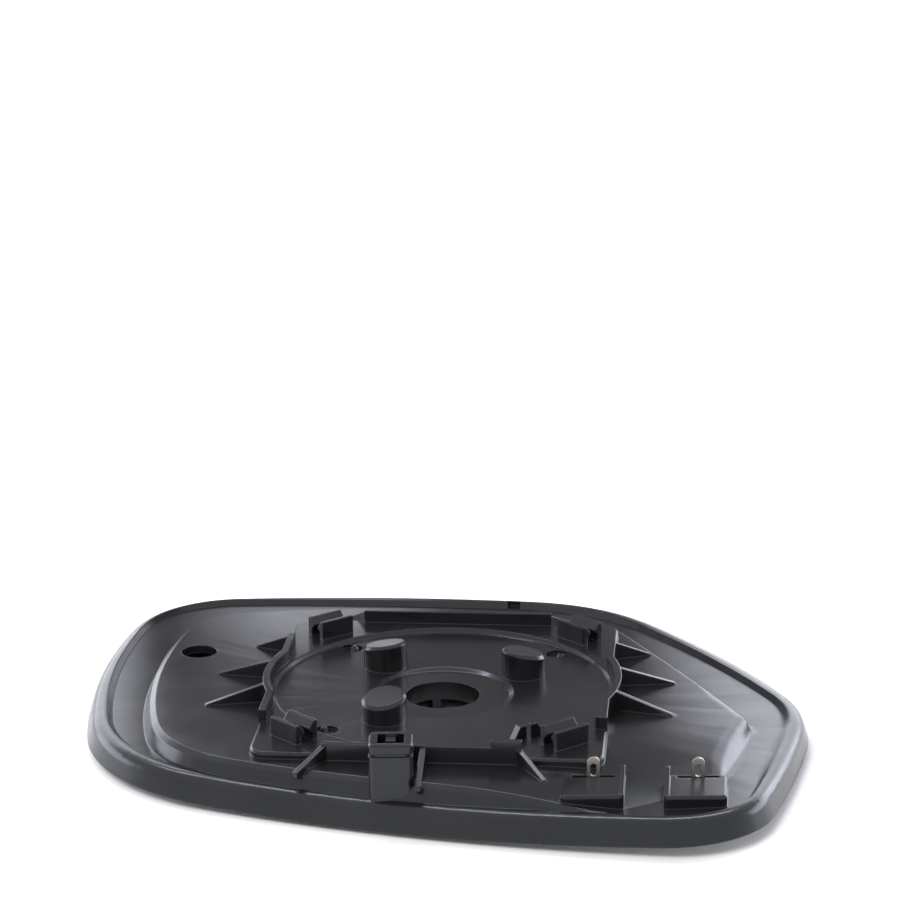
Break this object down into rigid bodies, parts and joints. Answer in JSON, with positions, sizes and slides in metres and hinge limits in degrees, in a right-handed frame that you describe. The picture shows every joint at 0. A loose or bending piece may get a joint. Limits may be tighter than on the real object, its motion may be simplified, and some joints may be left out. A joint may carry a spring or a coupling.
{
  "type": "car door mirror glass",
  "caption": "Convex door mirror pane on a black moulded back plate with a heating foil, an adjuster seat round a hub, snap sockets and terminal lugs.",
  "frame": {"origin": "on the hub's axis, at the flat face round the hub's bore", "axes": "+X along the mirror towards its outer tip, +Y across it, +Z out of the back of the plate; the part lies on its mirror face"},
  "size_m": [0.19, 0.1709, 0.0224],
  "materials": {
    "carrier_plate": "satin black moulding",
    "mirror_glass": "silvered",
    "heater_foil": "pale grey sheet",
    "terminal_lug": "tinned"
  },
  "bodies": {
    "root": {"carrier_plate": "carrier_plate", "mirror_glass": "mirror_glass", "heater_foil": "heater_foil", "terminal_lug_inner": "terminal_lug", "terminal_lug_outer": "terminal_lug"}
  },
  "joints": []
}
